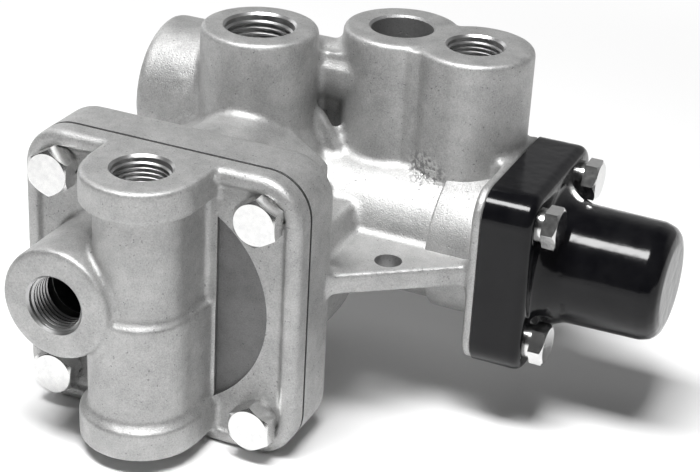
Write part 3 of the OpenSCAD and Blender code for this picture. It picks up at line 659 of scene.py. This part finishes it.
@dataclass
class BodyCasting:
    """The body: flange, relay housing, control housing, web and vertical bosses."""

    flange_t: float = 16.5
    hub_r: float = 38.0
    hub_end: float = 46.0
    hub_right: float = 3.0
    boss_r: float = 18.0
    boss_top: float = 63.4
    boss_edge: float = 1.6
    supply_back: float = 55
    foot: tuple[float, float, float] = (5, 56, -44.5)
    control_r: float = 20.9
    collar_r: float = 22.8
    ridge_r: float = 0.7
    cap_lip: float = 3.2
    bridge: float = 37.6
    voxel: float = 0.65
    hub_notch: tuple[float, float] = (29, 16.5)
    lobes: tuple[tuple[float, float], ...] = ((37.6, 77.0), CONTROL_PORT)
    gusset: tuple[tuple[float, float], ...] = (
        (12, 20), (12, 38.5), (19, 38), (21, 36), (27.5, 24.5), (28.5, 20),
    )
    web: tuple[tuple[float, float], ...] = ((20, 1), (44.5, 11.9), (81.3, 40.2), (81.3, 64), (20, 64))

    def outside(self) -> list[Piece]:
        """The plain solids that are melted into the casting."""
        spot, rod = Bench.spot, Bench.rod
        hub = rod(self.hub_r, self.hub_end - 1, spot(self.hub_right, 1, 0), Axis.BACK, soft=(0, 1.5))
        notch_right, notch_up = self.hub_notch
        Bench.work(hub, [Bench.block(spot(notch_right, -5, notch_up), spot(60, 60, 60))], Join.CUT)
        back, up, lip = CONTROL_BACK, CONTROL_UP, self.cap_lip
        solids = [
            Bench.rounded_block(SQUARE, SQUARE_CORNER, self.flange_t + 5, spot(0, -5, 0), Axis.BACK, 2.5),
            hub,
            rod(19, 54, spot(self.hub_right, 1, 22), Axis.BACK),  # swell on top of the relay housing
            rod(26, 89, spot(0, 1, 0), Axis.BACK),  # exhaust housing
            rod(self.boss_r, self.boss_top, spot(0, self.supply_back, 0), Axis.UP, soft=(0, self.boss_edge)),
            rod(17, 44.5, spot(*self.foot), Axis.UP, soft=(1.5, 0)),
            rod(self.control_r, CAP_FACE, spot(0, back, up), Axis.RIGHT),
            Bench.rounded_block(56.4, 9, lip, spot(CAP_FACE - lip, back, up), Axis.RIGHT, 0.8),
            Bench.rounded_block(49, 5, 9, spot(CAP_FACE - 1, back, up), Axis.RIGHT),  # pilot in the cap
            rod(22, 51, spot(-38, LEFT_BACK, LEFT_UP), Axis.RIGHT, soft=(self.boss_edge, 0)),
            rod(1.1, 4, spot(*CAST_MARK), Axis.RIGHT, 24, (0.9, 0.9)),
            rod(9, self.bridge, spot(0, 70, 48.4), Axis.RIGHT),
            rod(self.ridge_r, self.bridge, spot(0, 63.5, 55.4), Axis.RIGHT, 24),
            rod(self.ridge_r, self.bridge, spot(0, 61.5, 50.8), Axis.RIGHT, 24),
            Bench.block(spot(8, 67, 10), spot(37, 84, 49)),  # wall behind the gusset
            Bench.prism(self.gusset, 58.3, 3.4, Axis.BACK),
            rod(1.6, 54.6, spot(48.0, 61.9, 8), Axis.UP, 32),  # crease between the two lobes
            Bench.prism(self.web, 2.5, 6.5),
        ]
        for place in self.lobes:
            solids.append(
                rod(self.boss_r, self.boss_top - up, spot(*place, up), Axis.UP, soft=(0, self.boss_edge))
            )
        return solids

    def holes(self) -> list[Piece]:
        """Cutters for the bores, ports and machined faces."""
        spot, rod, mouth = Bench.spot, Bench.rod, Bench.mouth
        cutters = [
            Bench.block(spot(-60, -20, -60), spot(60, 0, 60)),  # the machined face
            rod(PISTON_BORE, 21, spot(0, -1, 0), Axis.BACK),  # the four steps of the relay bore
            rod(22, 30, spot(0, 0, 0), Axis.BACK),
            rod(10, 40, spot(0, 20, 0), Axis.BACK),
            rod(22, 60, spot(0, 35, 0), Axis.BACK),
            rod(17, 31, spot(60, CONTROL_BACK, CONTROL_UP), Axis.RIGHT),
            rod(9, 36, spot(26, CONTROL_BACK, CONTROL_UP), Axis.RIGHT),
            rod(14, 14, spot(-39, LEFT_BACK, LEFT_UP), Axis.RIGHT),
            rod(11.3, 34, spot(-26, LEFT_BACK, LEFT_UP), Axis.RIGHT),
            mouth(10.6, 16, spot(0, self.supply_back, self.boss_top), Axis.UP, PORT_CHAMFER),
            mouth(PORT_R, PORT_DEEP, spot(*CONTROL_PORT, self.boss_top), Axis.UP, PORT_CHAMFER),
            mouth(PORT_R, PORT_DEEP, spot(*self.foot), Axis.UP, PORT_CHAMFER, -1),
        ]
        rebate = Bench.rounded_block(SQUARE + 4, 15, 0.55, spot(0, 0, 0), Axis.BACK)
        inner = Bench.rounded_block(SQUARE - 0.9, 12.5, 3, spot(0, -1, 0), Axis.BACK)
        Bench.work(rebate, [inner], Join.CUT)
        cutters.append(rebate)
        for cover, cap in zip(COVER_BOLTS, CAP_BOLTS):
            cutters.append(rod(4.0, 16, spot(cover[0], -1, cover[1]), Axis.BACK, 48))
            cutters.append(rod(3.2, 11, spot(CAP_FACE - 2, *cap), Axis.RIGHT, 48))
        return cutters

    def build(self, finishes: Finishes) -> Piece:
        """Casts, bores and dresses the body."""
        spot = Bench.spot
        piece = Bench.cast(self.outside(), "body_casting", self.voxel, 1.4, 2, 0.5)
        finishes.dress(piece, "body_cast", "machined", "painted_shade_plain_bore")
        start = spot(63, CONTROL_BACK, CONTROL_UP)
        collar = Bench.rod(self.collar_r, CAP_FACE - 65, start, Axis.RIGHT, 128, (0.7, 0))
        Bench.work(piece, [collar], Join.ADD)
        Bench.work(piece, self.holes(), Join.CUT, 1)
        # The plain bore and the mounting hole take the darker slot, which paints the shade inside them.
        plain = Bench.mouth(9.6, 22, spot(*self.lobes[0], self.boss_top), Axis.UP, PORT_CHAMFER)
        mounting = Bench.rod(4.1, 10, spot(56.4, 29.6, 1), Axis.UP, 48)
        Bench.work(piece, [plain, mounting], Join.CUT, 2)
        Bench.shade(piece)
        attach(piece, ROOT)
        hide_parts("valve_body")
        return piece


@dataclass
class CoverCasting:
    """The square front cover with its vertical housing and front port boss."""

    back: float = -0.5
    plate: float = 5.2
    rim: float = 1.6
    rim_wide: float = 4.5
    axis: tuple[float, float] = (0.5, -17.0)
    top: float = 44.5
    front_port: tuple[float, float, float] = (-18, -34, 4.5)
    drum_edge: float = 1.2
    top_edge: float = 1.4
    voxel: float = 0.5
    # The vertical housing's heights: radius, spread of the sides, lower end, upper end.
    steps: tuple[tuple[float, float, float, float], ...] = (
        (18.2, 0.3, -40, -31.0), (17.6, 0.6, -40, -30.4), (16.9, 1.0, -40, -29.8), (16.2, 1.5, -40, -29.2),
        (15.6, 2.1, -40, 1.2), (15.1, 2.0, -40, 1.7), (14.6, 1.7, -40, 2.2), (14.1, 1.3, -40, 2.7),
        (13.7, 0.9, -40, 44), (17.5, 0.2, 35.3, 44.5),
    )

    def band(self, radius: float, spread: float, low: float, high: float) -> list[Piece]:
        """One height of the vertical housing: a round front and sides that spread towards the plate."""
        soft = (self.drum_edge if radius > 18 else 0, self.top_edge if high > 44 else 0)
        right, front = self.axis
        outline = [(right - radius, front), (right + radius, front), (right + radius + spread, self.back),
                   (right - radius - spread, self.back)]
        return [
            Bench.rod(radius, high - low, Bench.spot(right, front, low), Axis.UP, 96, soft),
            Bench.prism(outline, low, high - low),
        ]

    def outside(self) -> list[Piece]:
        """The plain solids that are melted into the casting."""
        spot = Bench.spot
        front = self.back - self.plate
        solid = Bench.rounded_block(SQUARE, SQUARE_CORNER, self.plate + self.rim + 5,
                                    spot(0, front - self.rim, 0), Axis.BACK, 2.6)
        inner = Bench.rounded_block(SQUARE - 2 * self.rim_wide, SQUARE_CORNER - self.rim_wide,
                                    self.rim + 5, spot(0, front - self.rim - 5, 0), Axis.BACK)
        Bench.work(solid, [inner], Join.CUT)
        solids = [solid, Bench.rod(17, 33.2, spot(*self.front_port), Axis.BACK, soft=(1.5, 0))]
        for radius, spread, low, high in self.steps:
            solids += self.band(radius, spread, low, high)
        return solids

    def holes(self) -> tuple[list[Piece], list[Piece], list[Piece]]:
        """Cutters for the panel, for the deep bores, whose walls get a near-black painted shade, and for the
        ports and the machined back.
        """
        spot, rod = Bench.spot, Bench.rod
        panel = rod(34.5, 6, spot(0, -10.5, 0), Axis.BACK)
        Bench.work(panel, [Bench.block(spot(18.3, -12, -36), spot(36, -1, 36))], Join.KEEP)
        cutters = [
            Bench.block(spot(-60, self.back, -60), spot(60, 20, 60)),  # the machined back
            rod(PISTON_BORE, 4, spot(0, -2.8, 0), Axis.BACK),
            Bench.mouth(PORT_R, PORT_DEEP, spot(*self.axis, self.top), Axis.UP, PORT_CHAMFER),
            Bench.mouth(PORT_R, PORT_DEEP, spot(*self.front_port), Axis.BACK, PORT_CHAMFER, -1),
        ]
        for right, up in COVER_BOLTS:
            cutters.append(rod(4.3, 8, spot(right, -8, up), Axis.BACK, 48))
        wells = [
            rod(9.5, 59, spot(*self.axis, -41), Axis.UP),
            rod(5, 20, spot(*self.axis, 15), Axis.UP),
            rod(8.45, 14, spot(-18, -22, 4.5), Axis.BACK),
        ]
        return [panel], wells, cutters

    def build(self, finishes: Finishes) -> Piece:
        """Casts, bores and dresses the cover."""
        piece = Bench.cast(self.outside(), "cover_casting", self.voxel, 0.8, 2, 0.6)
        finishes.dress(piece, "cast_aluminium", "machined", "panel", "painted_shade_bore")
        panel, wells, cutters = self.holes()
        Bench.work(piece, panel, Join.CUT, 2)
        Bench.work(piece, cutters, Join.CUT, 1)
        # The wells' walls take the near-black slot, which paints the shade inside the bores.
        Bench.work(piece, wells, Join.CUT, 3)
        Bench.shade(piece)
        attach(piece, ROOT)
        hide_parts("front_cover")
        return piece


@dataclass
class SpringCap:
    """The glossy black cap over the control spring."""

    flange: float = 15.3
    side: float = 57.0
    corner: float = 9.0
    wall: float = 3.7
    bore_r: float = 14.6
    voxel: float = 0.5
    dome: tuple[tuple[float, float], ...] = (
        (90, 18.6), (127.5, 18.0), (130.6, 17.0), (132.3, 15.3), (133, 12.8),
    )
    flare: tuple[tuple[float, float], ...] = (
        (95, 23.4), (97.3, 23), (98.6, 21.4), (100.6, 19.9), (103.5, 18.7),
    )

    def build(self, finishes: Finishes) -> Piece:
        """Shapes, hollows and dresses the cap."""
        spot, rod = Bench.spot, Bench.rod
        centre = spot(0, CONTROL_BACK, CONTROL_UP)
        flange = Bench.rounded_block(self.side, self.corner, self.flange + 5,
                                     centre + Vector(((CAP_FACE - 5) * MM, 0, 0)), Axis.RIGHT, 2.8)
        dome = Bench.turned("dome", self.dome, centre, Axis.RIGHT)
        flare = Bench.turned("flare", self.flare, centre, Axis.RIGHT)
        scoop = CAP_FACE + self.flange - 5
        Bench.work(flare, [rod(8.0, 30, spot(scoop, *seat), Axis.RIGHT, 64) for seat in CAP_BOLTS], Join.CUT)
        piece = Bench.cast([flange, dome, flare], "cap_shell", self.voxel, 0.0, 10)
        finishes.dress(piece, "gloss_black")
        cutters = [
            Bench.block(spot(CAP_FACE - 9, 20, -40), spot(CAP_FACE, 110, 50)),  # the machined face
            Bench.rounded_block(self.side - 2 * self.wall, self.corner - self.wall, 9.4,
                                centre + Vector(((CAP_FACE - 1) * MM, 0, 0)), Axis.RIGHT),
            rod(self.bore_r, 39, centre + Vector((90 * MM, 0, 0)), Axis.RIGHT),
        ]
        for seat in CAP_BOLTS:
            cutters.append(rod(3.5, 20, spot(84, *seat), Axis.RIGHT, 48))
        Bench.work(piece, cutters, Join.CUT)
        Bench.shade(piece)
        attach(piece, ROOT)
        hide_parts("spring_cap")
        return piece


@dataclass
class HexBolts:
    """Four equal bolts with chamfered hexagon heads."""

    name: str
    node: str
    flats: float
    head: float
    shank: float
    length: float
    axis: Axis
    seats: tuple[tuple[float, float, float], ...]
    chamfer: float = 0.9

    def one(self, seat: Vector, number: int) -> Piece:
        """Models one bolt, whose head's underside lies on its seat."""
        sign = -1 if self.axis is Axis.BACK else 1  # the cover's heads point against their axis
        corner = self.flats / math.sqrt(3)
        head = Bench.turned("head", [(0, corner), (sign * self.head, corner)], seat, self.axis, 6)
        cone = Bench.turned("cone", [(-sign, corner + 1), (sign * (self.head - self.chamfer), corner + 0.12),
                                     (sign * self.head, self.flats / 2 - 0.15)], seat, self.axis)
        Bench.work(head, [cone], Join.KEEP)
        below = self.length if sign > 0 else 1
        start = seat - self.axis.way * below * MM
        Bench.work(head, [Bench.rod(self.shank, self.length + 1, start, self.axis, 48)], Join.ADD)
        head.name = f"{self.name}_{number}"
        return Bench.shade(head, 20)

    def build(self, finishes: Finishes) -> Piece:
        """Models and places the four bolts."""
        bolts = [self.one(Bench.spot(*seat), n) for n, seat in enumerate(self.seats)]
        piece = Bench.joined(bolts, self.name)
        finishes.dress(piece, "zinc_steel")
        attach(piece, ROOT)
        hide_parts(self.node)
        return piece


@dataclass
class PortThread:
    """The helical ridge inside a threaded port.

    Its foot lies sunk millimetres inside the wall; its height and its half widths at the foot and the
    crest are shares of the pitch.
    """

    name: str
    radius: float
    pitch: float
    turns: int
    start: tuple[float, float, float]
    axis: Axis
    sign: int
    sunk: float = 0.08
    tall: float = 0.42
    foot: float = 0.46
    tip: float = 0.16

    def build(self, finishes: Finishes) -> Piece:
        """Sweeps a small tooth round the port's wall."""
        Bench.clear()
        bpy.ops.mesh.primitive_circle_add(vertices=4, radius=MM, fill_type="NOTHING")
        piece = bpy.context.object
        root, crest = self.radius + self.sunk, self.radius - self.tall * self.pitch
        tooth = ((root, -self.foot), (root, self.foot), (crest, self.tip), (crest, -self.tip))
        for vertex, (out, along) in zip(piece.data.vertices, tooth):
            vertex.co = Vector((out * MM, 0, along * self.pitch * MM))
        Bench.apply(piece, "SCREW", screw_offset=self.pitch * MM, iterations=self.turns, steps=64,
                    render_steps=64, axis="Z", use_merge_vertices=False)
        bpy.ops.object.mode_set(mode="EDIT")
        bpy.ops.mesh.select_all(action="DESELECT")
        bpy.ops.mesh.select_non_manifold()
        bpy.ops.mesh.edge_face_add()
        bpy.ops.mesh.select_all(action="SELECT")
        bpy.ops.mesh.normals_make_consistent(inside=False)
        bpy.ops.object.mode_set(mode="OBJECT")
        turn = Matrix.LocRotScale(None, Euler(self.axis.value), None)
        place = Bench.spot(*self.start)
        if self.sign > 0:
            place -= self.axis.way * (self.turns + 0.5) * self.pitch * MM
        else:
            place += self.axis.way * 0.5 * self.pitch * MM
        piece.data.transform(Matrix.Translation(place) @ turn)
        Bench.settle(piece, self.name)
        finishes.dress(piece, "machined")
        Bench.shade(piece, 20)
        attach(piece, ROOT)
        return piece


@dataclass
class Coil:
    """A spring between its seat and the body that it pushes; this copy keeps the CAD spring's shape and does
    not squeeze.

    A copy of the CAD spring stands in for it, because a CAD node's own mesh stays as it is.

    Attributes:
        node: The CAD spring.
        still: Body that holds its seat; not used.
        moving: Body that it pushes; not used.
        letter: Axis along which it squeezes.
        seat: Place of its fixed end on that axis, in metres.
        closed: Share of its length at each end that doesn't squeeze.
        weld: Distance in metres below which points become one.
    """

    node: str
    still: str
    moving: str
    letter: str
    seat: float
    closed: float = 0.08
    weld: float = 0.00001

    def build(self, finishes: Finishes) -> Piece:
        """Copies the spring, closes its mesh, dresses it and hides the CAD spring."""
        Bench.pick(frame["nodes"][self.node])
        bpy.ops.object.duplicate()
        piece = bpy.context.object
        bpy.ops.object.parent_clear(type="CLEAR_KEEP_TRANSFORM")
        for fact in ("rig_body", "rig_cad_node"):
            del piece[fact]
        Bench.settle(piece, f"{self.node}_coil")
        bpy.ops.object.mode_set(mode="EDIT")
        bpy.ops.mesh.select_all(action="SELECT")
        bpy.ops.mesh.remove_doubles(threshold=self.weld)
        bpy.ops.object.mode_set(mode="OBJECT")
        Bench.shade(piece, 40.0)
        finishes.dress(piece, "spring_steel")
        number = "xyz".index(self.letter)
        start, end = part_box(self.node)
        if abs(start[number] - self.seat) > abs(end[number] - self.seat):
            start, end = end, start
        length = end[number] - start[number]
        end = start.copy()
        start[number] += self.closed * length
        end[number] += (1.0 - self.closed) * length
        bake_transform(piece)
        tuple(start)
        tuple(end)
        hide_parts(self.node)
        return piece


@dataclass(frozen=True)
class SoftBox:
    """An area light that faces the middle of the set, with its place from there, its size and its power."""

    name: str
    offset: tuple[float, float, float]
    size: tuple[float, float]
    power: float

    def build(self, aim: Vector) -> None:
        """Hangs the light."""
        place = aim + Vector(self.offset)
        Bench.clear()
        bpy.ops.object.light_add(type="AREA", location=place)
        lamp = bpy.context.object
        lamp.name = self.name
        lamp.data.shape = "RECTANGLE"
        lamp.data.size, lamp.data.size_y = self.size
        lamp.data.energy = self.power
        lamp.rotation_euler = (aim - place).to_track_quat("-Z", "Y").to_euler()


@dataclass
class Studio:
    """Floor, lights, backdrop and camera, in metres.

    The camera's place and directions are those of the photograph. The floor glows from one distance
    to another round the middle, and the wall's and the room's numbers are strengths of light.
    """

    middle: tuple[float, float] = (0.03, -0.05)
    floor_up: float = -0.0445
    floor_side: float = 6
    floor_grey: float = 0.93
    floor_glow: float = 1.05
    glow_from: tuple[float, float] = (0.18, 0.5)
    eye: tuple[float, float, float] = (0.2263, -0.4973, 0.2502)
    ahead: tuple[float, float, float] = (-0.3448, 0.8257, -0.4464)
    over: tuple[float, float, float] = (-0.2231, 0.3899, 0.8934)
    lens: float = 92.5
    sensor: float = 36.0
    room: float = 0.07
    wall: float = 0.56
    paper: float = 1.1
    # The lit wall's three edges: part of the direction (1 back, 2 up), where it is dark, where it is full.
    edges: tuple[tuple[int, float, float], ...] = ((1, 0.2, 0.7), (2, 0.75, 0.4), (2, -0.3, -0.05))
    lights: tuple[SoftBox, ...] = (
        SoftBox("key_light", (0.0, -0.26, 0.81), (0.5, 0.22), 11.6),
        SoftBox("left_light", (-0.68, 0.3, 0.35), (0.4, 0.4), 1.1),
    )

    def floor(self) -> Piece:
        """A pale sweep under and behind the valve."""
        Bench.clear()
        bpy.ops.mesh.primitive_plane_add(size=self.floor_side, location=(0, 0, self.floor_up))
        piece = Bench.settle(bpy.context.object, "floor")
        skin = Surface("floor_paper", metallic=0.0, roughness=0.6)
        skin.shader.inputs["Base Color"].default_value = (*(self.floor_grey,) * 3, 1)
        glow = skin.node("ShaderNodeEmission", Strength=self.floor_glow)
        far = skin.band(skin.distance(Vector((*self.middle, self.floor_up))), *self.glow_from)
        mix = self.mixed(skin.tree, far.socket, skin.shader, glow)
        skin.tree.links.new(mix.outputs[0], skin.tree.nodes["Material Output"].inputs["Surface"])
        piece.data.materials.append(skin.material)
        piece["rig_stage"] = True
        return piece

    def camera(self) -> None:
        """Sets the camera where the photograph was taken from."""
        Bench.clear()
        ahead, over = Vector(self.ahead).normalized(), Vector(self.over).normalized()
        right = ahead.cross(over).normalized()
        over = right.cross(ahead)
        turn = Matrix((right, over, -ahead)).transposed().to_4x4()
        bpy.ops.object.camera_add()
        eye = bpy.context.object
        eye.name = "photo_camera"
        eye.matrix_world = Matrix.Translation(Vector(self.eye)) @ turn
        eye.data.lens = self.lens
        eye.data.sensor_width = self.sensor
        eye.data.sensor_fit = "HORIZONTAL"
        eye.data.clip_start = 0.01
        bpy.context.scene.camera = eye

    def backdrop(self) -> None:
        """White paper for the camera, and a dim room with a bright wall behind for the lighting."""
        world = bpy.data.worlds.new("studio")
        bpy.context.scene.world = world
        world.use_nodes = True
        tree = world.node_tree
        room = tree.nodes["Background"]
        room.inputs[0].default_value = (1.0, 1.0, 1.0, 1.0)
        room.inputs[1].default_value = self.room
        wall, paper = (tree.nodes.new("ShaderNodeBackground") for _ in range(2))
        wall.inputs[1].default_value = self.wall
        paper.inputs[1].default_value = self.paper
        place = tree.nodes.new("ShaderNodeTexCoord")
        parts = tree.nodes.new("ShaderNodeSeparateXYZ")
        tree.links.new(place.outputs["Generated"], parts.inputs[0])
        shares = []
        for part, dark, full in self.edges:
            node = tree.nodes.new("ShaderNodeMapRange")
            tree.links.new(parts.outputs[part], node.inputs["Value"])
            node.inputs["From Min"].default_value = dark
            node.inputs["From Max"].default_value = full
            shares.append(Sum(tree, node.outputs[0]))
        behind = shares[0] * shares[1] * shares[2]
        seen = tree.nodes.new("ShaderNodeLightPath").outputs["Is Camera Ray"]
        lit = self.mixed(tree, behind.socket, room, wall)
        tree.links.new(self.mixed(tree, seen, lit, paper).outputs[0], tree.nodes["World Output"].inputs[0])
        bpy.context.scene.view_settings.view_transform = "Standard"

    @staticmethod
    def mixed(tree: bpy.types.NodeTree, share: bpy.types.NodeSocket, first: bpy.types.Node,
              second: bpy.types.Node) -> bpy.types.Node:
        """Mixes two shaders."""
        node = tree.nodes.new("ShaderNodeMixShader")
        for entry, source in zip(node.inputs, (share, first.outputs[0], second.outputs[0])):
            tree.links.new(source, entry)
        return node

    def build(self) -> None:
        """Builds the whole set."""
        self.floor()
        for light in self.lights:
            light.build(Vector((*self.middle, 0.0)))
        self.backdrop()
        self.camera()


def bolt_sets() -> list[HexBolts]:
    """The cover's bolts and the cap's bolts."""
    cover = tuple((right, -7.7, up) for right, up in COVER_BOLTS)
    cap = tuple((98.7, back, up) for back, up in CAP_BOLTS)
    return [
        HexBolts("cover_hex_bolts", "cover_bolts", 12.7, 5.3, 3.95, 21, Axis.BACK, cover),
        HexBolts("cap_hex_bolts", "cap_bolts", 11.1, 4.4, 3.15, 18, Axis.RIGHT, cap),
    ]


def threads() -> list[PortThread]:
    """The threads of the six threaded ports."""
    return [
        PortThread("supply_thread", 10.6, 1.81, 7, (0, 55, 62.4), Axis.UP, 1),
        PortThread("control_thread", PORT_R, 1.41, 7, (*CONTROL_PORT, 62.4), Axis.UP, 1),
        PortThread("cover_top_thread", PORT_R, 1.41, 7, (0.5, -17, 43.5), Axis.UP, 1),
        PortThread("cover_front_thread", PORT_R, 1.41, 6, (-18, -33, 4.5), Axis.BACK, -1),
        PortThread("foot_thread", PORT_R, 1.41, 7, (5, 56, -43.5), Axis.UP, -1),
        PortThread("left_thread", PORT_R, 1.41, 5, (-36, LEFT_BACK, LEFT_UP), Axis.RIGHT, -1),
    ]


def coils() -> list[Coil]:
    """One spring for each node that the record squeezes with a joint."""
    found = []
    for joint in frame["joints"]:
        for rule in joint.get("deforming_nodes", []):
            letter = rule["mode"][-1]
            seat = rule[f"fixed_end_{letter}_m"]
            found.append(Coil(rule["node"], joint["parent"], joint["child"], letter, seat))
    return found


def main() -> None:
    """Builds the pieces in order and reports each."""
    logging.basicConfig(level=logging.INFO)
    finishes = Finishes()
    for entry in frame["record"]["subparts"]:
        node = frame["nodes"][entry["node"]]
        node.data.materials.clear()
        node.data.materials.append(finishes.by_slot[entry["material_slot"]])
    makers: list[Maker] = [BodyCasting(), CoverCasting(), SpringCap(), *bolt_sets(), *threads(), *coils()]
    for maker in makers:
        piece = maker.build(finishes)
        LOG.info("%s: %d faces", piece.name, len(piece.data.polygons))
    Studio().build()
    Bench.clear()
    [[list(corner) for corner in box] for box in (CAD_BOX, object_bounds())]


if __name__ == "__main__":
    main()
